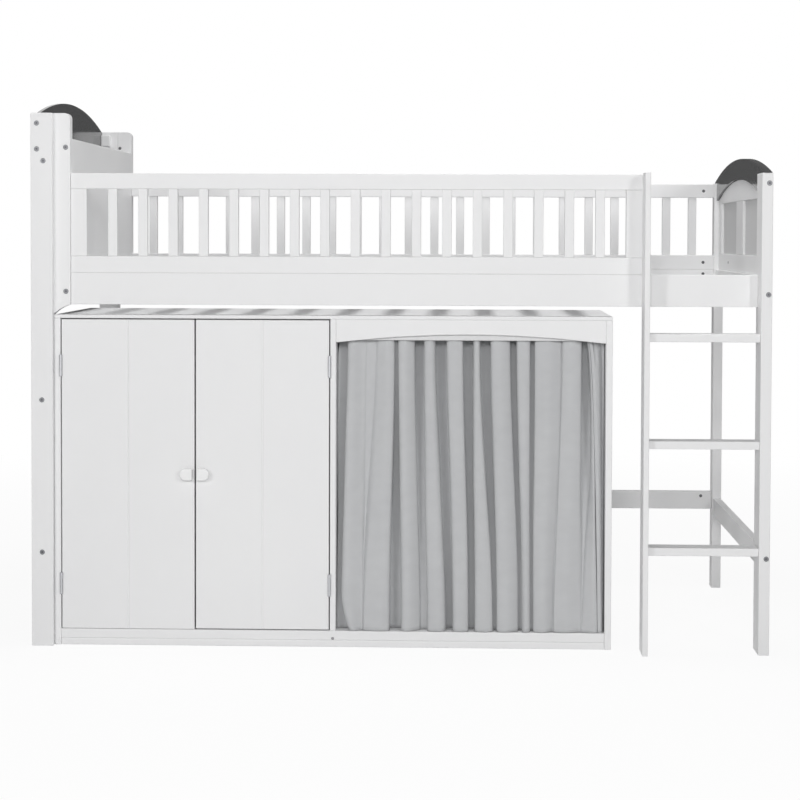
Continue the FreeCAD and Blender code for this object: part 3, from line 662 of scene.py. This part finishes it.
def white_floor():
    material, tree = new_material("white_studio_floor")
    spot = add(tree, "ShaderNodeTexCoord", {})["Object"]
    near = add(tree, "ShaderNodeMapping",
               {"Vector": spot, "Scale": (1 / shading_reach, 1 / shading_reach, 1.0)})["Vector"]
    round_bed = add(tree, "ShaderNodeTexGradient", {"Vector": near}, gradient_type="SPHERICAL")["Fac"]
    share = add(tree, "ShaderNodeMapRange",
                {"Value": round_bed, "From Max": shading_full, "To Min": 1.0,
                 "To Max": white_share})["Result"]
    keep_shadow = add(tree, "ShaderNodeMath", {0: seen_white(tree), 1: share}, operation="MULTIPLY")["Value"]
    matt = add(tree, "ShaderNodeBsdfDiffuse", {"Color": linear("#f2f2f2")})["BSDF"]
    white = add(tree, "ShaderNodeEmission", {"Color": linear("#ffffff"), "Strength": 1.0})["Emission"]
    surface(tree, add(tree, "ShaderNodeMixShader", {0: keep_shadow, 1: matt, 2: white})["Shader"])
    return material


def grey_glow():
    material, tree = new_material("grey_card")
    surface(tree, add(tree, "ShaderNodeEmission", {"Color": linear("#626262"), "Strength": 1.0})["Emission"])
    return material


def studio_sheet(name, half, place, material):
    bm = bmesh.new()
    bmesh.ops.create_grid(bm, x_segments=1, y_segments=1, size=half)
    bmesh.ops.transform(bm, matrix=place, verts=bm.verts)
    mesh = bpy.data.meshes.new(name)
    bm.to_mesh(mesh)
    bm.free()
    mesh.materials.append(material)
    sheet = bpy.data.objects.new(name, mesh)
    bpy.context.scene.collection.objects.link(sheet)
    return sheet


upright = Matrix.Rotation(math.radians(90), 4, "X")
studio_sheet("studio_floor", floor_half, Matrix.Identity(4), white_floor())
card = studio_sheet("grey_card", card_half, Matrix.Translation(card_place) @ upright, grey_glow())
card.visible_camera = False
card.visible_diffuse = False
card.visible_shadow = False
card.visible_transmission = False
print("studio floor and card are ready")

# %% [markdown]
# ## White surround
# The world gives the bed a little even light. The camera and mirrored rays see it as white.

# %% Surround
ambient_strength = 0.19
world = bpy.data.worlds.new("white_surround")
bpy.context.scene.world = world
world.use_nodes = True
tree = world.node_tree
tree.nodes.clear()
ambient = add(tree, "ShaderNodeBackground",
              {"Color": linear("#ffffff"), "Strength": ambient_strength})["Background"]
backdrop = add(tree, "ShaderNodeBackground", {"Color": linear("#ffffff"), "Strength": 1.0})["Background"]
both = add(tree, "ShaderNodeMixShader", {0: seen_white(tree), 1: ambient, 2: backdrop})["Shader"]
add(tree, "ShaderNodeOutputWorld", {"Surface": both})
print("surround is ready")

# %% [markdown]
# ## Lamps
# Two soft lamps stand well back, to the front right and the front left, and give the crossed
# shadows beside the ladder. A third one, above and behind the camera, reaches into the curtain's
# folds and draws the shadow line under the valance. The last hangs over the bed, and its light
# falls between the slats onto the cabinet's top. Places are in metres and powers in watts.

# %% Lamps
def soft_lamp(name, place, aim_height, size, power):
    data = bpy.data.lights.new(name, "AREA")
    data.shape = "SQUARE"
    data.size = size
    data.energy = power
    lamp = bpy.data.objects.new(name, data)
    bpy.context.scene.collection.objects.link(lamp)
    lamp.location = place
    lamp.rotation_euler = (Vector((0, 0, aim_height)) - Vector(place)).to_track_quat("-Z", "Y").to_euler()


soft_lamp("key_lamp", place=(2.9, -5.6, 2.4), aim_height=0.8, size=0.7, power=55)
soft_lamp("fill_lamp", place=(-2.8, -5.8, 2.1), aim_height=0.7, size=0.8, power=65)
soft_lamp("front_lamp", place=(0.1, -6.3, 2.3), aim_height=0.7, size=1.0, power=78)
soft_lamp("top_lamp", place=(0.3, -0.2, 3.8), aim_height=0.8, size=1.2, power=47)
bpy.context.scene.view_settings.view_transform = "Standard"
print("lamps are lit")

# %% [markdown]
# ## Camera
# The photograph was taken from a little right of the bed's middle, almost level. The numbers
# come from solving the camera on the bed's straight edges. The focal length and the shift of
# the picture's middle are in pixels of a picture 800 pixels wide, and the angles in degrees.

# %% Camera
picture_px, focal_px, shift_x_px, shift_y_px = 800, 1888.19, -11.66, -99.63
turn_deg, tilt_deg, roll_deg = 1.778, -1.883, 0.1866
camera_place, sensor_mm, sight_limit = (0.1973, -5.6502, 1.1338), 36.0, 200.0
data = bpy.data.cameras.new("photo_camera")
camera = bpy.data.objects.new("photo_camera", data)
bpy.context.scene.collection.objects.link(camera)
bpy.context.scene.camera = camera
data.sensor_width = sensor_mm
data.lens = focal_px / picture_px * sensor_mm
data.shift_x = shift_x_px / picture_px
data.shift_y = shift_y_px / picture_px
data.clip_end = sight_limit
turn = Matrix.Rotation(math.radians(turn_deg), 4, "Z")
tilt = Matrix.Rotation(math.radians(90 + tilt_deg), 4, "X")
roll = Matrix.Rotation(math.radians(roll_deg), 4, "Z")
camera.matrix_world = Matrix.Translation(camera_place) @ turn @ tilt @ roll
print("camera stands", round(-camera.location.y, 2), "m in front")
